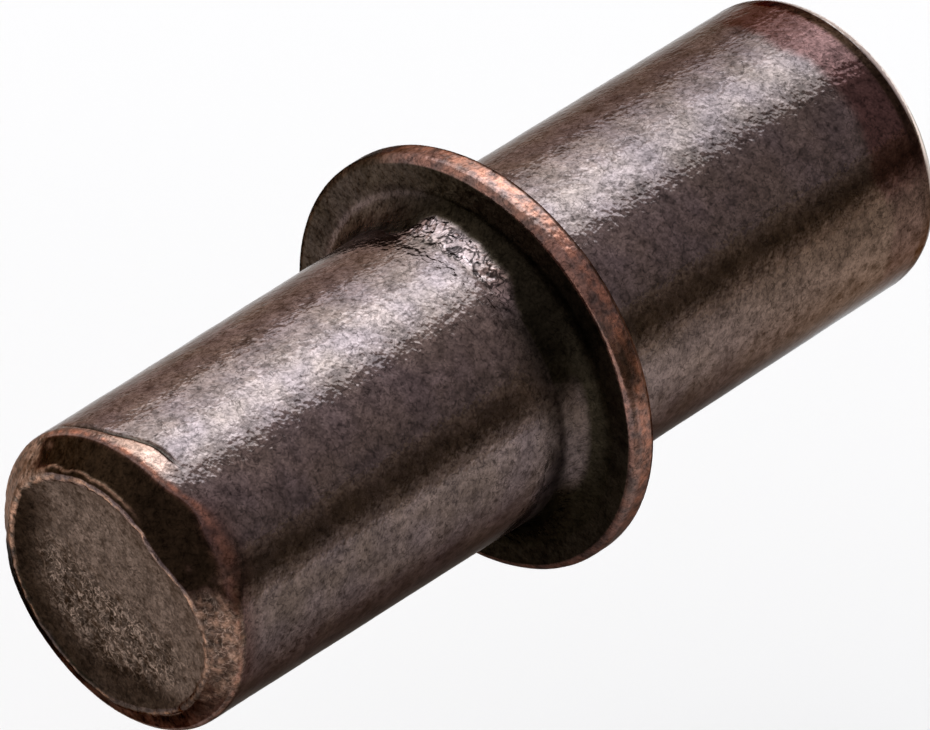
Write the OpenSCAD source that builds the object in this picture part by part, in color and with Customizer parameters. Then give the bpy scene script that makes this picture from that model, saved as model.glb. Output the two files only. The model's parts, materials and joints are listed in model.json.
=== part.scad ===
// Shelf support pin: a collared metal pin, cold headed in one piece. The panel pin goes into a drilled hole
// in the side of a cabinet until the collar seats on the panel, and the shelf rests on the support pin.
// The pin's axis lies along X. The origin is on that axis, in the collar's seat: +X points into the panel,
// the support pin reaches out along -X, and +Z is up.

/* [Panel pin] */
// Diameter of the pin that goes into the panel
panel_pin_d = 5; // [3:0.05:6]
// Length of the pin from the collar's seat to its end
panel_pin_length = 7.6; // [4:0.1:14]
// Radius of the rounded lead-in at the pin's end
panel_end_round = 0.3; // [0.1:0.05:1]

/* [Collar] */
// Diameter of the collar
collar_d = 6.9; // [6.5:0.1:10]
// Thickness of the collar
collar_thickness = 0.5; // [0.4:0.05:1.5]
// Radius of the two rounded edges of the collar's rim
rim_round = 0.14; // [0.05:0.01:0.19]

/* [Support pin] */
// Diameter of the support pin where it meets the collar
support_pin_d = 4.95; // [4:0.05:5.4]
// Length of the support pin from the collar to the middle of its end face
support_pin_length = 7.6; // [4:0.1:14]
// Draft of the support pin beyond its fillet, in degrees: it is slimmer at its end
support_draft = 0.5; // [0:0.1:1.5]
// Radius of the fillet between the support pin and the collar
collar_fillet = 0.5; // [0.1:0.05:0.8]

/* [Cropped end] */
// Length of the bevel along the axis, from its ridge to the middle of the end face
bevel_length = 0.33; // [0.1:0.01:0.5]
// Angle between the bevel and the axis
bevel_angle = 50; // [30:1:55]
// Lean of the cropped face: its top edge stands forward
face_lean = 5; // [0:0.5:6]
// Width of the lip left standing round the hollow in the face
lip_width = 0.13; // [0.05:0.01:0.4]
// Depth of the shallow hollow in the face
hollow_depth = 0.08; // [0.02:0.01:0.2]

/* [Hidden] */
$fn = 96;
bronze = [0.24, 0.19, 0.17];

// Radii of the three main diameters
panel_r = panel_pin_d / 2;
collar_r = collar_d / 2;
root_r = support_pin_d / 2;

// The fillet ends short of the rounded rim, however wide the collar is
fillet_r = min(collar_fillet, collar_r - rim_round - root_r);

// Places along the axis: the end of the fillet, the ridge of the bevel, and the face where it crosses the axis
fillet_x = -collar_thickness - fillet_r;
face_x = -collar_thickness - support_pin_length;
ridge_x = face_x + bevel_length;

// Radii of the ridge, which the draft makes slimmer than the root, and of the bevel at the face
ridge_r = root_r - (fillet_x - ridge_x) * tan(support_draft);
face_r = ridge_r - bevel_length * tan(bevel_angle);

// The leaning face cuts the bevel in an oval, whose middle lies below the axis
lean_share = tan(face_lean) * tan(bevel_angle);
face_drop = face_r * lean_share / (1 - pow(lean_share, 2));

// The pin is drawn as a blank whose bevel runs on past the leaning face
crop_spare = 0.1;
blank_x = face_x - face_r * tan(face_lean) - crop_spare;
blank_r = face_r - (face_x - blank_x) * tan(bevel_angle);

// The hollow is a shallow cap of a large sphere
hollow_r = face_r - lip_width;
hollow_sphere_r = (pow(hollow_r, 2) + pow(hollow_depth, 2)) / (2 * hollow_depth);

// The sliver between a square outer corner and its round. The signs in inward say which way the round's
// centre lies from the corner, and the sliver reaches past the corner, so that it cuts clear of it.
module corner_sliver(corner, inward, radius) {
    centre = corner + inward * radius;
    beyond = corner - inward * radius;
    difference() {
        polygon([beyond, [centre[0], beyond[1]], centre, [beyond[0], centre[1]]]);
        translate(centre) circle(radius);
    }
}

// Half section of the uncropped pin: radius across, place along the axis upward
module half_section() {
    fillet_end = [root_r, fillet_x];
    fillet_centre = [root_r + fillet_r, fillet_x];
    front_rim = [collar_r, -collar_thickness];
    seat_rim = [collar_r, 0];
    panel_end = [panel_r, panel_pin_length];
    difference() {
        polygon([
            [0, blank_x],
            [blank_r, blank_x],
            [ridge_r, ridge_x],
            fillet_end,
            fillet_centre,
            [fillet_centre[0], -collar_thickness],
            front_rim,
            seat_rim,
            [panel_r, 0],
            panel_end,
            [0, panel_pin_length]
        ]);
        translate(fillet_centre) circle(fillet_r);
        corner_sliver(front_rim, [-1, 1], rim_round);
        corner_sliver(seat_rim, [-1, -1], rim_round);
        corner_sliver(panel_end, [-1, -1], panel_end_round);
    }
}

// What the crop takes off before the face: a flat block, with a crown that presses the hollow in
module crop() {
    rotate_extrude() {
        square(collar_d);
        intersection() {
            translate([0, hollow_sphere_r - hollow_depth]) circle(hollow_sphere_r);
            translate([0, -collar_d]) square(collar_d);
        }
    }
}

// The crop is made about +Z, which points out of the pin once it is at the middle of the leaning face
module support_pin() {
    color(bronze) difference() {
        rotate([0, 90, 0]) rotate_extrude() half_section();
        translate([face_x, 0, 0]) rotate([0, -90 - face_lean, 0]) translate([-face_drop, 0, 0]) crop();
    }
}

support_pin();
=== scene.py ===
import json
import math

import bpy
import numpy as np
from mathutils import Matrix, Vector, noise


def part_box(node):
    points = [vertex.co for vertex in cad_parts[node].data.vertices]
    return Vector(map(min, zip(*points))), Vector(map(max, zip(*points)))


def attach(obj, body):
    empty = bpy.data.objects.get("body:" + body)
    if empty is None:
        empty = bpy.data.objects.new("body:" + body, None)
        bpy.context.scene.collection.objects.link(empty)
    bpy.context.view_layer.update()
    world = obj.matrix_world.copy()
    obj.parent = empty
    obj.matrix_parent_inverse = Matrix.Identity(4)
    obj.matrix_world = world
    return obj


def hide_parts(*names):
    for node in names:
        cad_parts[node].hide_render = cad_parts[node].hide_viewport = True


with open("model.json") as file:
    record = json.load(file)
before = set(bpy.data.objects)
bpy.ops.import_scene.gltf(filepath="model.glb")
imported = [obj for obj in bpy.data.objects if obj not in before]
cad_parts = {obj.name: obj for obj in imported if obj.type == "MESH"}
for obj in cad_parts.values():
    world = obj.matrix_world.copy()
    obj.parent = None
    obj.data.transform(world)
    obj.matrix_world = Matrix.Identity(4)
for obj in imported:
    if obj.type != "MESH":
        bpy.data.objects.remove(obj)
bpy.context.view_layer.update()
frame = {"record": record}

# The pin
# A shelf support pin, cold headed from one length of steel wire: the collar is upset in a die, and the end
# that carries the shelf is cropped and bevelled. It is tumbled and finished in a dark antique bronze, which
# wears to copper on the edges. Sizes are in mm.
MM = 0.001
COLUMNS = 256
HOLLOW_RINGS = 50
LIP_RINGS = 10
low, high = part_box("support_pin")
panel_mount = next(m for m in frame["record"]["mounts"] if m["name"] == "panel_pin")

panel_r = panel_mount["dims"]["r_mm"]
panel_length = high.x / MM
panel_end_round = 0.3
collar_r = high.y / MM
collar_thickness = 0.5
rim_round = 0.14
root_r = 2.475
support_length = 7.6
draft = math.radians(0.5)
fillet_r = 0.5
fillet_x = -collar_thickness - fillet_r

face_x = -collar_thickness - support_length
face_lean = math.radians(5)
bevel_length = 0.33
bevel_angle = math.radians(50)
lip_width = 0.13
lip_height = 0.035
hollow_depth = 0.075

# Every ring has one point in each column. A column's turn is its angle from straight up, towards -Y.
turn = (np.arange(COLUMNS) / COLUMNS * 2 - 1) * math.pi
radial = np.stack([np.zeros(COLUMNS), -np.sin(turn), np.cos(turn)], axis=1)
along = np.array([1.0, 0.0, 0.0])


def round_ring(x, r):
    """One ring about the axis; x and r are single values or one value for each column."""
    x = np.broadcast_to(x, COLUMNS)
    r = np.broadcast_to(r, COLUMNS)
    return x[:, None] * along + r[:, None] * radial


def steps(count):
    """Shares of a stretch, up to its end. Its start is the end of the stretch before."""
    return np.linspace(0, 1, count + 1)[1:]


def support_radius(x):
    return root_r - (fillet_x - x) * math.tan(draft)


def fade(values, start, end):
    """0 at start and before it, 1 at end and past it, smooth between."""
    t = np.clip((values - start) / (end - start), 0, 1)
    return t * t * (3 - 2 * t)


def within(values, start, end, soft):
    """1 between start and end and 0 outside them, with both edges softened."""
    return fade(values, start - soft, start + soft) * (1 - fade(values, end - soft, end + soft))


# The cropped face leans, with its top forward, and cuts the bevel's cone in a ragged oval. The crop left it
# full along the top, and sheared a flat into its upper right and a shallower one low on the right.
full_top = 0.08
flat_depth = 0.2
low_flat_depth = 0.1
raggedness = 0.024
degrees = np.degrees(turn)
face_up = np.array([-math.sin(face_lean), 0, math.cos(face_lean)])
face_out = np.array([-math.cos(face_lean), 0, -math.sin(face_lean)])
face_r = support_radius(face_x + bevel_length) - bevel_length * math.tan(bevel_angle)
lean_share = math.tan(face_lean) * math.tan(bevel_angle)
face_centre = face_x * along - face_r * lean_share / (1 - lean_share ** 2) * face_up
outline_r = face_r / (1 + lean_share * np.cos(turn))
outline_r += full_top * within(degrees, -70, 12, 18) - flat_depth * np.exp(-((degrees - 44) / 17) ** 2)
outline_r -= low_flat_depth * within(degrees, 108, 172, 16)
outline_r += [raggedness * noise.fractal(Vector(facing) * 9, 0.6, 2.2, 3) for facing in radial]
outline = round_ring(face_x - outline_r * np.cos(turn) * math.tan(face_lean), outline_r)

# The ridge behind the bevel is worn back and rounder on the viewer's right, and lies forward underneath
worn_back = 0.19 * within(degrees, 30, 66, 10)
further_forward = 0.1 * (1 - within(degrees, -104, 130, 12))
ridge_x = face_x + bevel_length + worn_back - further_forward
ridge = round_ring(ridge_x, support_radius(ridge_x))
ridge_round = 0.09 + 0.13 * within(degrees, 40, 68, 10)

# The fillet at the collar is drawn out along the top, where the upset metal wrinkled
flared = within(degrees, -22, 30, 10)
flare_length = fillet_r + 0.35 * flared
flare_height = fillet_r - 0.1 * flared
flare_x = -collar_thickness - flare_length

stretches = []


def add_stretch(name, rings):
    stretches.append((name, np.array(rings)))


# The hollow in the face, with a flat floor and a wall that steepens up to a rounded lip
lip_share = 1 - lip_width / face_r
add_stretch("hollow", [
    face_centre + t * lip_share * (outline - face_centre) - hollow_depth * (1 - t ** 6) * face_out
    - lip_height * face_out
    for t in steps(HOLLOW_RINGS)
])
add_stretch("lip", [
    face_centre + (lip_share + t * (1 - lip_share)) * (outline - face_centre)
    - lip_height * (1 - math.sin(math.pi * (0.9 * t)) ** 0.8) * face_out
    for t in steps(LIP_RINGS)
])

# The bevel, and the worn ridge as a curve between the bevel and the support pin
down_bevel = (outline - ridge) / np.linalg.norm(outline - ridge, axis=1)[:, None]
bevel_start = stretches[-1][1][-1]
bevel_end = ridge + ridge_round[:, None] * down_bevel
back_x = ridge_x + ridge_round
ridge_back = round_ring(back_x, support_radius(back_x))
add_stretch("bevel", [bevel_start + t * (bevel_end - bevel_start) for t in steps(30)])
add_stretch("ridge", [
    (1 - t) ** 2 * bevel_end + 2 * t * (1 - t) * ridge + t ** 2 * ridge_back for t in steps(8)
])

# The support pin: a close band behind the ridge, the plain length, and a close band before the collar
band_length = 0.75
root_length = 0.5
band_x = back_x + band_length
root_x = fillet_x - root_length


def support_rings(start, end, count):
    places = [start + t * (end - start) for t in steps(count)]
    return [round_ring(x, support_radius(x)) for x in places]


add_stretch("band", support_rings(back_x, band_x, count=30))
add_stretch("barrel", support_rings(band_x, root_x, count=54))
add_stretch("root", support_rings(root_x, flare_x, count=18))


# The collar: its fillet, front face, rounded rim and seat
def arc(centre_x, centre_r, radius, start, end, count):
    """Rings round an arc in the section; an angle of 0 points outward, and 90 degrees along +X."""
    angles = [math.radians(start + t * (end - start)) for t in steps(count)]
    return [round_ring(centre_x + radius * math.sin(a), centre_r + radius * math.cos(a)) for a in angles]


def flat(x, start_r, end_r, count):
    return [round_ring(x, start_r + t * (end_r - start_r)) for t in steps(count)]


rim_r = collar_r - rim_round
flare_r = support_radius(flare_x)
add_stretch("fillet", [
    round_ring(flare_x + flare_length * math.sin(a), flare_r + flare_height * (1 - math.cos(a)))
    for a in steps(24) * math.pi / 2
])
add_stretch("collar_front", flat(-collar_thickness, flare_r + flare_height, rim_r, count=6))
add_stretch("front_rim", arc(rim_round - collar_thickness, rim_r, rim_round, -90, 0, count=7))
rim_length = collar_thickness - 2 * rim_round
add_stretch("rim", [round_ring(rim_round - collar_thickness + t * rim_length, collar_r) for t in steps(4)])
add_stretch("seat_rim", arc(-rim_round, rim_r, rim_round, 0, 90, count=7))
add_stretch("seat", flat(0, rim_r, panel_r, count=12))

# The panel pin, with its rounded lead-in and flat end
lead_x = panel_length - panel_end_round
lead_r = panel_r - panel_end_round
add_stretch("panel_pin", [round_ring(t * lead_x, panel_r) for t in steps(80)])
add_stretch("lead_in", arc(lead_x, lead_r, panel_end_round, 0, 90, count=12))
add_stretch("panel_end", flat(panel_length, lead_r, lead_r / 24, count=23))

points = np.concatenate([rings for name, rings in stretches])
where = {}
count = 0
for name, rings in stretches:
    where[name] = slice(count, count + len(rings))
    count += len(rings)
ring_count = count


def only(*names):
    """1 on the rings of the named stretches and 0 on the others."""
    mask = np.zeros((ring_count, 1))
    for name in names:
        mask[where[name]] = 1
    return mask


def lumps(size, octaves, shift):
    """Smooth lumps about as wide as size, from about -1 to 1, the same in every run."""
    places = (points / size + shift).reshape(-1, 3)
    values = [noise.fractal(Vector(p), 1.0, 2.0, octaves) for p in places]
    return np.array(values).reshape(points.shape[:2])


# Which way each point's surface faces
across = np.roll(points, -1, axis=1) - np.roll(points, 1, axis=1)
outward = np.cross(across, np.gradient(points, axis=0))
outward /= np.linalg.norm(outward, axis=2)[:, :, None]

x = points[:, :, 0]
behind_ridge = x - ridge_x[None, :]
spread = np.linalg.norm(points - face_centre, axis=2)

broad = lumps(size=0.9, octaves=2, shift=3.0)
coarse = lumps(size=0.28, octaves=3, shift=17.0)
fine = lumps(size=0.11, octaves=2, shift=41.0)

# Tumbling leaves the metal slightly uneven all over
height = 0.005 * (broad - 1) + 0.0012 * fine

# The bevelling tool laps a thin band of metal over the support pin: a crease behind the ridge, on top
lap = only("ridge", "band") * within(degrees, -30, 19, 7)
crease_at = 0.17 + 0.22 * fade(degrees, -12, 12) + 0.02 * coarse
crease = lap * np.exp(-((behind_ridge - crease_at) / 0.036) ** 2)
crease_depth = 0.04
lap_slope = 0.06
height -= crease_depth * crease
height -= lap_slope * lap * np.clip(crease_at - behind_ridge, 0, None) ** 2

# The upset metal is wrinkled where the top of the support pin runs into the collar, until the fillet darkens
wrinkled_turns = within(degrees, -15, 33, 6)
dark_from = -0.98 + (0.28 - 0.1 * fade(degrees, 0, 20)) * wrinkled_turns + 0.06 * coarse
dark_from = dark_from - 0.2 * within(degrees, -36, -15, 6)
wrinkle = only("root", "fillet") * within(x, -1.16, dark_from, 0.05) * wrinkled_turns
wrinkle_height = 0.008
height += wrinkle * wrinkle_height * coarse

# The crop leaves the face torn below its middle, with pits and seams, and its lip chipped
side = (points - face_centre) @ np.array([0, -1.0, 0])
rise = (points - face_centre) @ face_up
torn = only("hollow") * within(spread, -1, 1.5, 0.3) * fade(-0.35 * side - rise, -0.55, 0.35)
seams = np.exp(-(lumps(size=0.2, octaves=2, shift=73.0) / 0.1) ** 2)
pits = np.clip(coarse - 0.05, 0, None)
height -= torn * (0.05 * pits + 0.02 * np.abs(fine)) - torn * 0.015 * seams
height -= only("hollow") * 0.006 * np.abs(coarse)
height -= only("lip") * 0.025 * np.clip(coarse + 0.2, 0, None)

# A burr runs along the top of the bevel, just behind the lip
burr_height = 0.03
burr_width = 0.03
burr = only("bevel") * within(degrees, -36, 20, 8)
beyond_lip = np.linalg.norm(points - outline[None, :, :], axis=2)
from_burr = beyond_lip - 0.1 - 0.04 * coarse
height += burr_height * burr * np.exp(-(from_burr / burr_width) ** 2)

# The bevel is torn rough on both sides of the face, with ragged ends, and stays smooth elsewhere
ragged_degrees = degrees + 14 * coarse
rough_bevel = fade(ragged_degrees, 57, 81) * (1 - fade(ragged_degrees, 90, 134))
rough_bevel = rough_bevel + within(ragged_degrees, -96, -42, 12)
rough_bevel = rough_bevel * only("lip", "bevel", "ridge")
rough_bevel = rough_bevel * (1 - fade(behind_ridge + 0.06 * coarse, -0.02, 0.12))
height -= rough_bevel * (0.03 * pits + 0.012 * np.abs(fine))

# All of it stays inside the box of the plain pin
points = points + height[:, :, None] * outward
box_low = np.array(low) / MM
box_high = np.array(high) / MM
points = np.clip(points, box_low, box_high)

# Where the bronze has worn to copper: on the ridge, mostly on top, on the lap and on the collar's rim
top = within(degrees, -38, 40, 10)
edge_width = 0.04 + 0.07 * within(degrees, 40, 70, 10)
edge = np.exp(-(behind_ridge / edge_width) ** 2) * only("bevel", "ridge", "band")
edge = edge * (0.2 + 0.8 * top + 0.2 * within(degrees, 40, 130, 10))
lap_wear = only("band", "ridge") * lap * within(behind_ridge, 0, crease_at - 0.04, 0.03) * 0.2
left_rim = within(degrees, -150, -24, 12)
rim_wear = (only("front_rim") * 0.5 + only("rim") * 0.9 + only("seat_rim") * 0.3) * (1 - 0.92 * left_rim)
copper = np.clip(edge + lap_wear + rim_wear + 0.12 * rough_bevel * (degrees > 0), 0, 1)

# Where it has reddened: at the panel pin's end, behind the ridge on the right, and on the face and bevel
facing_away = 1 - within(degrees, -40, 160, 20)
red_from = 6.3 + 0.12 * facing_away - 0.12 * coarse - 0.2 * broad
red_end = fade(x, red_from, red_from + 0.25 + 0.5 * facing_away)
red_end = red_end * (1 - 0.6 * within(degrees, 74, 150, 8)) * (1 - 0.4 * facing_away)
red_band = within(degrees, 36, 110, 14) * np.exp(-(behind_ridge / 0.3) ** 2) * 0.8
reddened = only("panel_pin", "lead_in", "panel_end") * red_end + only("ridge", "band") * red_band
reddened = reddened + only("bevel", "hollow")

# Where it is dark: patina round the collar, with painted shade on the collar and in the fillet, apart from a
# streak on the right
left_side = within(degrees, -140, -18, 14)
underside = 1 - within(degrees, -104, 116, 14)
# A streak low on the right of the fillet, left lighter as a painted reflection of the floor
painted_reflection_streak = within(degrees, 66, 112, 10) * within(x, -0.98, -0.62, 0.07)
from_axis = np.linalg.norm(points[:, :, 1:], axis=2)
# Patina and painted shade on the collar's face and in the seat. The face is a little lighter on its left, a
# painted reflection. The rim's seat side has a painted shadow of the gap, and the rim is darker on its left
# side
patina_and_painted_shade = only("collar_front") * (0.94 - 0.14 * left_side) + only("seat") * 0.6
patina_and_painted_shade += only("front_rim", "rim") * left_rim * 0.9 + only("seat_rim") * 0.7
# A painted highlight: a pale line round the fillet on its left
painted_highlight_line = np.exp(-((from_axis - 2.84) / 0.05) ** 2) * left_side * (0.5 + 0.5 * coarse)
# Painted shade in the fillet from where the wrinkles end, less on the left
dark_fillet = only("fillet") * fade(x, dark_from - 0.04, dark_from + 0.06)
patina_and_painted_shade += dark_fillet * (1 - 0.25 * left_side - 0.82 * painted_reflection_streak)
patina_and_painted_shade -= only("fillet") * np.clip(painted_highlight_line, 0, 0.4)
# Painted shade on the support pin's right side, where it runs into the collar
near_collar = only("root", "fillet") * fade(x, -1.55, -0.95)
right_painted_shade = 0.8 * within(degrees, 38, 64, 8) + 0.2 * within(degrees, 64, 140, 8) * (1 - painted_reflection_streak)
patina_and_painted_shade += near_collar * right_painted_shade
# A painted dark line of shade where the wrinkled band begins
first_crease_shade = only("root", "fillet") * np.exp(-((x + 1.12 - 0.03 * coarse) / 0.05) ** 2) * wrinkled_turns
patina_and_painted_shade += 0.5 * first_crease_shade

# It is darker at the hollow's foot, and in the crease as patina with painted shade over it. Painted shade
# lies on the smooth part of the bevel and the ridge's right, on the hollow's left wall, and on the lip
# beside its worn top on the left and on its underside
smooth_bevel = only("bevel") * (1 - np.clip(rough_bevel, 0, 1)) * (1 - np.clip(edge, 0, 1))
patina_and_painted_shade += smooth_bevel * (1 - 0.25 * within(degrees, 110, 145, 12))
patina_and_painted_shade += only("ridge") * within(degrees, 50, 74, 8) * 0.5
hollow_share = np.zeros((ring_count, 1))
hollow_share[where["hollow"], 0] = steps(HOLLOW_RINGS)
left_lip = within(degrees, -172, -50, 14)
left_wall_shade = fade(hollow_share, 0.6, 0.95) * left_lip * 0.88
foot = only("hollow") * fade(-rise, 1.0, 1.5) * 0.75
patina_and_painted_shade += np.maximum(left_wall_shade, foot) + torn * np.clip(2 * pits, 0, 0.3)
lip_place = np.zeros((ring_count, 1))
lip_place[where["lip"], 0] = steps(LIP_RINGS)
lip_top = only("lip") * np.exp(-((lip_place - 0.5 - 0.3 * coarse) / 0.28) ** 2)
patina_and_painted_shade += (only("lip") - lip_top) * left_lip * 0.8 + only("lip") * underside * 0.45
# A painted dark line of shade before the lead-in, strongest on top towards the viewer
far_edge_shade = only("panel_pin", "lead_in") * within(x, lead_x - 0.12, lead_x + 0.05, 0.02)
far_edge_shade = far_edge_shade * (0.3 + 0.7 * within(degrees, -15, 62, 15))
patina_and_painted_shade = np.clip(patina_and_painted_shade + 0.9 * crease + 0.9 * far_edge_shade, 0, 1)

# The dark patina and the painted shade are matt, and so in part is the support pin near the collar, apart
# from its top
matt = only("barrel", "root", "fillet") * fade(x, -1.9, -1.2) * (1 - within(degrees, -24, 32, 8))
matt = np.clip(patina_and_painted_shade + 0.5 * matt, 0, 1)

# Where the crop and the wear bared the metal, with painted highlights on the lip, on the lap and on the left
# of the rough bevel
cropped = np.clip(only("hollow") + rough_bevel, 0, 1)
torn_metal = np.clip(torn + rough_bevel, 0, 1)
burr_top_width = 0.02
burr_top = burr * np.exp(-(from_burr / burr_top_width) ** 2)
# The lip's worn top is bared metal, made paler on its upper right and on its left and fainter underneath as
# a painted highlight
lip_wear_and_highlight = 0.45 + 0.3 * within(degrees, 10, 74, 10) + 0.3 * within(degrees, -84, -48, 8) - 0.5 * underside
lip_wear_and_highlight = lip_wear_and_highlight - 0.35 * within(degrees, 82, 124, 8)
bared = lip_top * np.clip(lip_wear_and_highlight + 1.4 * coarse + 1.3 * fine, 0, 1) + 0.5 * burr_top
# The rough bevel is paler on its left, a painted reflection of the pale floor
bared = bared + 0.5 * rough_bevel * np.clip(0.12 + 2.2 * fine + 0.9 * (degrees < 0), 0, 1)
# A painted highlight: the lap is bared metal only on top, where the light falls on it
lap_bared_and_highlight = lap * within(degrees, -16, 30, 8) * within(behind_ridge, 0.02, crease_at - 0.06, 0.04)
bared = bared + lap_bared_and_highlight * 0.45
bared = np.clip(bared, 0, 1)
# A painted highlight: a pale ring of polished-looking metal on the lead-in, on its upper side where the
# light falls
polish_and_painted_highlight = only("lead_in") * fade(x, lead_x + 0.05, lead_x + 0.09) * within(degrees, -14, 90, 30)

# Where it is darker: along the panel pin apart from low on its right, more so towards its end; and painted
# shade underneath the cropped end and in the fillet on top, by the collar
darkened_and_painted_shade = only("seat", "panel_pin", "lead_in", "panel_end") * (1 - within(degrees, 46, 160, 10))
darkened_and_painted_shade = darkened_and_painted_shade * 0.42 * fade(x, 0, 4.4)
darkened_and_painted_shade = darkened_and_painted_shade + only("lip", "bevel", "ridge") * underside * 0.7
darkened_and_painted_shade = darkened_and_painted_shade + only("fillet") * fade(x, dark_from, dark_from + 0.1) * within(degrees, -34, 62, 8) * 0.9

# The patina turns olive low on the right of the panel pin, more so towards its end
olive = only("panel_pin", "lead_in") * within(degrees, 66, 150, 10) * fade(x, -1, 6)

# The mesh: quads between the rings, closed by a fan at each end
first_pole = points[0].mean(axis=0)
last_pole = points[-1].mean(axis=0)
vertices = np.concatenate([points.reshape(-1, 3), [first_pole, last_pole]]) * MM
first_pole_index = ring_count * COLUMNS
last_pole_index = first_pole_index + 1
last_ring = (ring_count - 1) * COLUMNS
faces = []
for column in range(COLUMNS):
    after = (column + 1) % COLUMNS
    faces.append((first_pole_index, after, column))
    for ring in range(0, last_ring, COLUMNS):
        faces.append((ring + column, ring + after, ring + COLUMNS + after, ring + COLUMNS + column))
    faces.append((last_ring + column, last_ring + after, last_pole_index))
pin_mesh = bpy.data.meshes.new("bronzed_pin")
pin_mesh.from_pydata(vertices.tolist(), [], faces)
pin_mesh.shade_smooth()
masks = {
    "copper": copper,
    "olive": olive,
    "reddened": reddened,
    "patina_and_painted_shade": patina_and_painted_shade,
    "cropped": cropped,
    "matt": matt,
    "torn": torn_metal,
    "bared": bared,
    "polish_and_painted_highlight": polish_and_painted_highlight,
    "darkened_and_painted_shade": darkened_and_painted_shade,
    "wrinkled": wrinkle,
    "hammered": 1 - 0.6 * within(degrees, 46, 130, 10),
}
for name, mask in masks.items():
    mask = np.broadcast_to(mask, (ring_count, COLUMNS))
    values = np.concatenate([mask.ravel(), [mask[0].mean(), mask[-1].mean()]])
    pin_mesh.attributes.new(name, "FLOAT", "POINT").data.foreach_set("value", values.astype(np.float32))
pin_mesh.update()
pin = bpy.data.objects.new("bronzed_pin", pin_mesh)
bpy.context.scene.collection.objects.link(pin)

# The bronze finish: a mottled brown and purple patina over a grained metal
bronze = bpy.data.materials.new("antique_bronze")
bronze.use_nodes = True
bronze_tree = bronze.node_tree
bronze_tree.nodes.clear()


def node(tree, kind, inputs=None, **settings):
    """Adds a node; an input is a value, or the socket that feeds it."""
    made = tree.nodes.new(kind)
    for name, value in settings.items():
        setattr(made, name, value)
    for name, value in (inputs or {}).items():
        if isinstance(value, bpy.types.NodeSocket):
            tree.links.new(value, made.inputs[name])
        else:
            made.inputs[name].default_value = value
    return made


def blend_colours(tree, share, first, second, mode="MIX"):
    made = node(tree, "ShaderNodeMix", data_type="RGBA", blend_type=mode, clamp_factor=True)
    for index, value in ((0, share), (6, first), (7, second)):
        if isinstance(value, bpy.types.NodeSocket):
            tree.links.new(value, made.inputs[index])
        else:
            made.inputs[index].default_value = value
    return made.outputs[2]


def spread_of(tree, value, from_low, from_high, to_low, to_high):
    made = node(tree, "ShaderNodeMapRange", {
        "Value": value,
        "From Min": from_low,
        "From Max": from_high,
        "To Min": to_low,
        "To Max": to_high,
    })
    return made.outputs["Result"]


def mask_of(tree, name):
    return node(tree, "ShaderNodeAttribute", attribute_name=name).outputs["Fac"]


def sums(tree, operation, first, second):
    return node(tree, "ShaderNodeMath", {0: first, 1: second}, operation=operation).outputs[0]


def clouds(tree, place, scale, detail, roughness=0.5, distortion=0.0):
    made = node(tree, "ShaderNodeTexNoise", {
        "Vector": place,
        "Scale": scale,
        "Detail": detail,
        "Roughness": roughness,
        "Distortion": distortion,
    })
    return made.outputs["Fac"]


place = node(bronze_tree, "ShaderNodeTexCoord").outputs["Object"]
in_mm = {"Vector": place, "Scale": (1 / MM, 1 / MM, 1 / MM)}
place = node(bronze_tree, "ShaderNodeMapping", in_mm).outputs[0]
mottle = clouds(bronze_tree, place, scale=1.3, detail=2)
flake = clouds(bronze_tree, place, scale=5.0, detail=2, roughness=0.55)
pebble = clouds(bronze_tree, place, scale=13.0, detail=2, roughness=0.6, distortion=0.6)
grain = clouds(bronze_tree, place, scale=27.0, detail=1)
patches = clouds(bronze_tree, place, scale=2.3, detail=3, roughness=0.6, distortion=0.4)


def veins(tree, place, scale, distortion):
    """0 along winding lines, and more the further from them."""
    signed = sums(tree, "SUBTRACT", clouds(tree, place, scale, detail=2, distortion=distortion), 0.5)
    return node(tree, "ShaderNodeMath", {0: signed}, operation="ABSOLUTE").outputs[0]


brown = (0.176, 0.127, 0.11, 1)
purple = (0.171, 0.125, 0.12, 1)
olive_brown = (0.17, 0.111, 0.083, 1)
reddish = (0.12, 0.061, 0.055, 1)
copper_colour = (0.36, 0.157, 0.104, 1)
dark_oxide_and_shade = (0.034, 0.027, 0.0175, 1)
red_oxide_and_shade = (0.025, 0.0152, 0.0088, 1)
cropped_brown = (0.168, 0.122, 0.099, 1)
cropped_dark = (0.1, 0.072, 0.057, 1)
torn_pale = (0.36, 0.266, 0.214, 1)
torn_brown = (0.14, 0.102, 0.082, 1)
torn_dark = (0.04, 0.0275, 0.02, 1)
bared_metal = (0.427, 0.253, 0.176, 1)
painted_highlight_metal = (0.85, 0.71, 0.63, 1)
bronze_glance = (0.5, 0.445, 0.415, 1)
patina_and_shade_glance = (0.16, 0.13, 0.11, 1)
painted_highlight_glance = (1, 1, 1, 1)

purple_share = spread_of(bronze_tree, mottle, 0.35, 0.65, 0, 1)
colour = blend_colours(bronze_tree, purple_share, brown, purple)
colour = blend_colours(bronze_tree, mask_of(bronze_tree, "olive"), colour, olive_brown)
colour = blend_colours(bronze_tree, mask_of(bronze_tree, "reddened"), colour, reddish)
scuffs = clouds(bronze_tree, place, scale=14.0, detail=3, roughness=0.6, distortion=0.8)
scuffs = spread_of(bronze_tree, scuffs, 0.38, 0.62, 0, 1)
scuffs = blend_colours(bronze_tree, scuffs, cropped_dark, cropped_brown)
colour = blend_colours(bronze_tree, mask_of(bronze_tree, "cropped"), colour, scuffs)
tears = clouds(bronze_tree, place, scale=6.0, detail=5, roughness=0.75, distortion=1.4)
tears = spread_of(bronze_tree, tears, 0.42, 0.62, 0, 1)
tears = blend_colours(bronze_tree, tears, torn_dark, torn_brown)
pale_tears = veins(bronze_tree, place, scale=6.5, distortion=1.1)
pale_tears = spread_of(bronze_tree, pale_tears, 0, 0.05, 0.85, 0)
tears = blend_colours(bronze_tree, pale_tears, tears, torn_pale)
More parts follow.
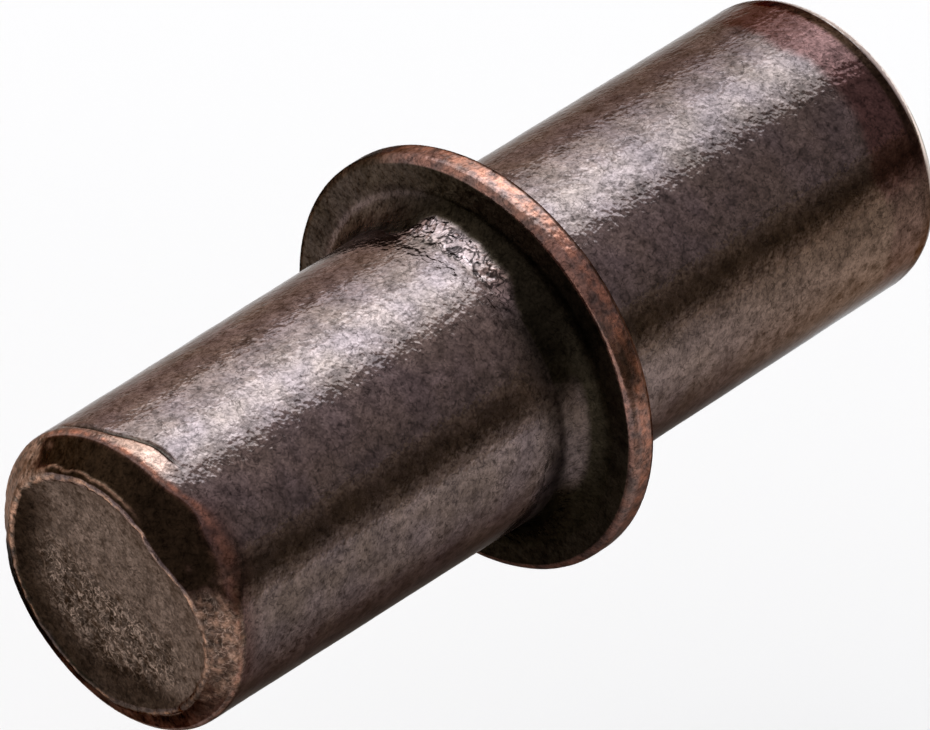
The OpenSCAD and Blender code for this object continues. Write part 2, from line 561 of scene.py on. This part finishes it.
colour = blend_colours(bronze_tree, mask_of(bronze_tree, "torn"), colour, tears)
oxide_and_shade = blend_colours(bronze_tree, mask_of(bronze_tree, "reddened"), dark_oxide_and_shade, red_oxide_and_shade)
colour = blend_colours(bronze_tree, mask_of(bronze_tree, "patina_and_painted_shade"), colour, oxide_and_shade)
worn = spread_of(bronze_tree, flake, 0.35, 0.6, 0.25, 1)
worn = sums(bronze_tree, "MULTIPLY", mask_of(bronze_tree, "copper"), worn)
colour = blend_colours(bronze_tree, worn, colour, copper_colour)
colour = blend_colours(bronze_tree, mask_of(bronze_tree, "bared"), colour, bared_metal)

# Fine scratches, patches, flakes, pebbling and grain make the bronze lighter and darker
scratches = veins(bronze_tree, place, scale=4.0, distortion=1.2)
shade = spread_of(bronze_tree, scratches, 0, 0.022, 0.5, 1.06)
for pattern, level_from, low_shade, high_shade in (
    (patches, 0.7, 0.78, 1.22),
    (flake, 0.57, 0.68, 1.14),
    (pebble, 0.55, 0.54, 1.12),
    (grain, 0.7, 0.82, 1.18),
):
    lightness = spread_of(bronze_tree, pattern, 0.3, level_from, low_shade, high_shade)
    shade = sums(bronze_tree, "MULTIPLY", shade, lightness)
# Darker along the panel pin, with painted shade underneath the cropped end and in the fillet
darkening_and_shade = spread_of(bronze_tree, mask_of(bronze_tree, "darkened_and_painted_shade"), 0, 1, 1, 0.4)
shade = sums(bronze_tree, "MULTIPLY", shade, darkening_and_shade)
# Painted light and shade on the wrinkles: dark along their folds and lighter between them
crumple_light_and_shade = veins(bronze_tree, place, scale=5.0, distortion=1.0)
crumple_light_and_shade = spread_of(bronze_tree, crumple_light_and_shade, 0.015, 0.07, -0.75, 0.8)
crumple_light_and_shade = sums(bronze_tree, "MULTIPLY", crumple_light_and_shade, mask_of(bronze_tree, "wrinkled"))
shade = sums(bronze_tree, "MULTIPLY", shade, sums(bronze_tree, "ADD", crumple_light_and_shade, 1.0))
shade = node(bronze_tree, "ShaderNodeCombineColor", {0: shade, 1: shade, 2: shade}).outputs[0]
colour = blend_colours(bronze_tree, 1.0, colour, shade, "MULTIPLY")
colour = blend_colours(bronze_tree, mask_of(bronze_tree, "polish_and_painted_highlight"), colour, painted_highlight_metal)

# At a glancing view the patina and the painted shade stay dull, and only the painted highlight on the
# lead-in turns white
edge_tint = blend_colours(bronze_tree, mask_of(bronze_tree, "patina_and_painted_shade"), bronze_glance, patina_and_shade_glance)
edge_tint = blend_colours(bronze_tree, mask_of(bronze_tree, "polish_and_painted_highlight"), edge_tint, painted_highlight_glance)

roughness = spread_of(bronze_tree, flake, 0.3, 0.7, 0.09, 0.16)
for name, added in (("cropped", 0.3), ("copper", 0.12), ("matt", 0.28)):
    roughening = sums(bronze_tree, "MULTIPLY", mask_of(bronze_tree, name), added)
    roughness = sums(bronze_tree, "ADD", roughness, roughening)

# The finest relief: dimples all over from tumbling, and folds where the fillet is wrinkled
dimple_depth = 0.0095
fold_depth = 0.03
folds = clouds(bronze_tree, place, scale=6.0, detail=1, distortion=0.5)
folds = sums(bronze_tree, "MULTIPLY", folds, mask_of(bronze_tree, "wrinkled"))
folds = sums(bronze_tree, "MULTIPLY", folds, fold_depth)
dimpling = sums(bronze_tree, "MULTIPLY", mask_of(bronze_tree, "hammered"), dimple_depth)
relief = clouds(bronze_tree, place, scale=11.0, detail=1, roughness=0.4)
relief = sums(bronze_tree, "ADD", relief, flake)
relief = sums(bronze_tree, "MULTIPLY", relief, dimpling)
relief = sums(bronze_tree, "ADD", relief, folds)
bump = node(bronze_tree, "ShaderNodeBump", {"Strength": 1.0, "Distance": MM, "Height": relief})
shader = node(bronze_tree, "ShaderNodeBsdfPrincipled", {
    "Base Color": colour,
    "Metallic": 1.0,
    "Roughness": roughness,
    "Normal": bump.outputs[0],
    "Specular Tint": edge_tint,
})
node(bronze_tree, "ShaderNodeOutputMaterial", {"Surface": shader.outputs[0]})
pin_mesh.materials.append(bronze)

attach(pin, "root")
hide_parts("support_pin")

# The floor
# A plain pale sheet under the pin, wide enough to fill the view from any side.
floor_z = -12
floor_r = 260
floor_sides = 96
floor_mesh = bpy.data.meshes.new("floor")
floor_turns = [i / floor_sides * 2 * math.pi for i in range(floor_sides)]
floor_points = [(floor_r * MM * math.cos(a), floor_r * MM * math.sin(a), floor_z * MM) for a in floor_turns]
floor_mesh.from_pydata(floor_points, [], [tuple(range(floor_sides))])
floor = bpy.data.objects.new("floor", floor_mesh)
bpy.context.scene.collection.objects.link(floor)
paper = bpy.data.materials.new("pale_paper")
paper.use_nodes = True
paper_tree = paper.node_tree
paper_tree.nodes.clear()
place = node(paper_tree, "ShaderNodeTexCoord").outputs["Object"]
fibre = clouds(paper_tree, place, scale=40.0, detail=2)
darker_paper = (0.89, 0.844, 0.805, 1)
lighter_paper = (0.91, 0.864, 0.825, 1)
paper_colour = blend_colours(paper_tree, fibre, darker_paper, lighter_paper)
paper_shader = node(paper_tree, "ShaderNodeBsdfDiffuse", {"Color": paper_colour})
node(paper_tree, "ShaderNodeOutputMaterial", {"Surface": paper_shader.outputs[0]})
floor_mesh.materials.append(paper)

# The light
# A softbox behind the pin, brighter in its middle, in a room that darkens towards the viewer's side.
view_x = -0.598
view_y = -0.5515
view_z = 0.5816
softbox_distance = 0.3
softbox_colour = (0.8, 1.0, 1.14)


def mirrored(degrees):
    """Where the viewer sees light from, by reflection at that turn round the pin."""
    facing = Vector((0, -math.sin(math.radians(degrees)), math.cos(math.radians(degrees))))
    viewer = Vector((view_x, view_y, view_z))
    return (2 * facing.dot(viewer) * facing - viewer).normalized()


def softbox(name, first_turn, last_turn, near_degrees, far_degrees, radiance):
    """A lamp mirrored in the pin between two turns, reaching some degrees nearer and further along it."""
    first = mirrored(first_turn)
    last = mirrored(last_turn)
    middle = (first + last).normalized()
    wide = (last - first).normalized()
    nearer = middle.cross(wide)
    if nearer.x > 0:
        nearer = -nearer
    shift = math.radians(near_degrees - far_degrees) / 2
    lamp = bpy.data.lights.new(name, "AREA")
    lamp.shape = "RECTANGLE"
    lamp.size = 2 * softbox_distance * math.tan(first.angle(last) / 2)
    lamp.size_y = 2 * softbox_distance * math.tan(math.radians(near_degrees + far_degrees) / 2)
    lamp.energy = radiance * math.pi * lamp.size * lamp.size_y
    lamp.color = softbox_colour
    aim = math.cos(shift) * middle + math.sin(shift) * nearer
    holder = bpy.data.objects.new(name, lamp)
    bpy.context.scene.collection.objects.link(holder)
    turned = Matrix((wide, aim.cross(wide), aim)).transposed().to_4x4()
    holder.matrix_world = Matrix.Translation(aim * softbox_distance) @ turned
    holder.visible_camera = False


softbox("wide_softbox", -9, 26.5, near_degrees=50, far_degrees=17, radiance=1.2)
softbox("middle_softbox", -1, 26.5, near_degrees=50, far_degrees=17, radiance=0.56)
softbox("bright_softbox", 7, 19, near_degrees=17, far_degrees=17, radiance=1.7)

world = bpy.data.worlds.new("room")
bpy.context.scene.world = world
world.use_nodes = True
room_tree = world.node_tree
room_tree.nodes.clear()
direction = node(room_tree, "ShaderNodeTexCoord").outputs["Generated"]
bright_side = (0, 0.8, 0.6)
towards_light = node(room_tree, "ShaderNodeVectorMath", {
    0: direction,
    1: bright_side,
}, operation="DOT_PRODUCT")
light_share = spread_of(room_tree, towards_light.outputs["Value"], -1, 1, 0, 1)
room_level = node(room_tree, "ShaderNodeValToRGB", {"Fac": light_share})
ramp = room_level.color_ramp
stops = {
    0.19: (0.128, 0.105, 0.09, 1),
    0.31: (0.281, 0.263, 0.266, 1),
    0.48: (0.42, 0.39, 0.41, 1),
    0.64: (0.53, 0.5, 0.52, 1),
    0.85: (0.96, 0.89, 0.86, 1),
}
for position in list(stops)[2:]:
    ramp.elements.new(position)
for stop, (position, level) in zip(ramp.elements, stops.items()):
    stop.position = position
    stop.color = level
room = node(room_tree, "ShaderNodeBackground", {"Color": room_level.outputs[0], "Strength": 1.0})
node(room_tree, "ShaderNodeOutputWorld", {"Surface": room.outputs[0]})

# The dark cards
# Two graded cards that only reflections see. One stands beside the pin, darkest at half its height, and one
# lies under it, palest below the panel pin and darkest right under the pin, a painted shadow of the pin on a
# floor close below. They end the floor's reflection softly in the pin's lower side.
# Each column is x and a share of the rows' grey, and each row is y, z and grey.
palest_grey = 0.95
cards = {
    "standing_card": ([(-25, 1), (60, 1)], [
        (-18, -4.5, 0.54),
        (-18, -2.1, 0.31),
        (-18, 0.3, 0.115),
        (-18, 1.4, 0.09),
        (-18, 4, 0.115),
        (-18, 7.5, 0.26),
    ]),
    "lying_card": ([(-7, 0.84), (1.5, 0.96), (6, 1.32), (9, 1.26), (12.5, 0.9), (24, 0.8)], [
        (-18, -4.2, 0.57),
        (-9, -4.2, 0.61),
        (-2.8, -4.2, 0.85),
        (-1.8, -4.2, 0.75),
        (3, -4.2, 0.42),
    ]),
}
graded = bpy.data.materials.new("graded_card")
graded.use_nodes = True
graded_tree = graded.node_tree
graded_tree.nodes.clear()
grey = mask_of(graded_tree, "grey")
warm_grey = node(graded_tree, "ShaderNodeCombineColor", {
    0: grey,
    1: sums(graded_tree, "POWER", grey, 1.08),
    2: sums(graded_tree, "POWER", grey, 1.22),
}).outputs[0]
graded_shader = node(graded_tree, "ShaderNodeBsdfDiffuse", {"Color": warm_grey})
node(graded_tree, "ShaderNodeOutputMaterial", {"Surface": graded_shader.outputs[0]})
for name, (columns, rows) in cards.items():
    card_points = [(x * MM, y * MM, z * MM) for y, z, grey_level in rows for x, share in columns]
    wide = len(columns)
    corners = [row * wide + column for row in range(len(rows) - 1) for column in range(wide - 1)]
    card_faces = [(i, i + 1, i + wide + 1, i + wide) for i in corners]
    card_mesh = bpy.data.meshes.new(name)
    card_mesh.from_pydata(card_points, [], card_faces)
    greys = [min(grey_level * share, palest_grey) for y, z, grey_level in rows for x, share in columns]
    card_mesh.attributes.new("grey", "FLOAT", "POINT").data.foreach_set("value", greys)
    card_mesh.materials.append(graded)
    card = bpy.data.objects.new(name, card_mesh)
    bpy.context.scene.collection.objects.link(card)
    card.visible_camera = False
    card.visible_diffuse = False
    card.visible_shadow = False

# The camera
# A long lens from above the cropped end's right, level with the horizon.
camera_data = bpy.data.cameras.new("camera")
camera_data.sensor_width = 36
camera_data.lens = 356.7
camera_data.clip_start = 0.005
camera_data.clip_end = 5
camera = bpy.data.objects.new("camera", camera_data)
bpy.context.scene.collection.objects.link(camera)
right = Vector((0.678, -0.735, 0)).normalized()
forward = Vector((-view_x, -view_y, -view_z)).normalized()
up = right.cross(forward)
camera_place = Vector((-82.756, -75.915, 80.04)) * MM
camera.matrix_world = Matrix.Translation(camera_place) @ Matrix((right, up, -forward)).transposed().to_4x4()
bpy.context.scene.camera = camera
bpy.context.scene.view_settings.view_transform = "Standard"

bpy.context.view_layer.update()
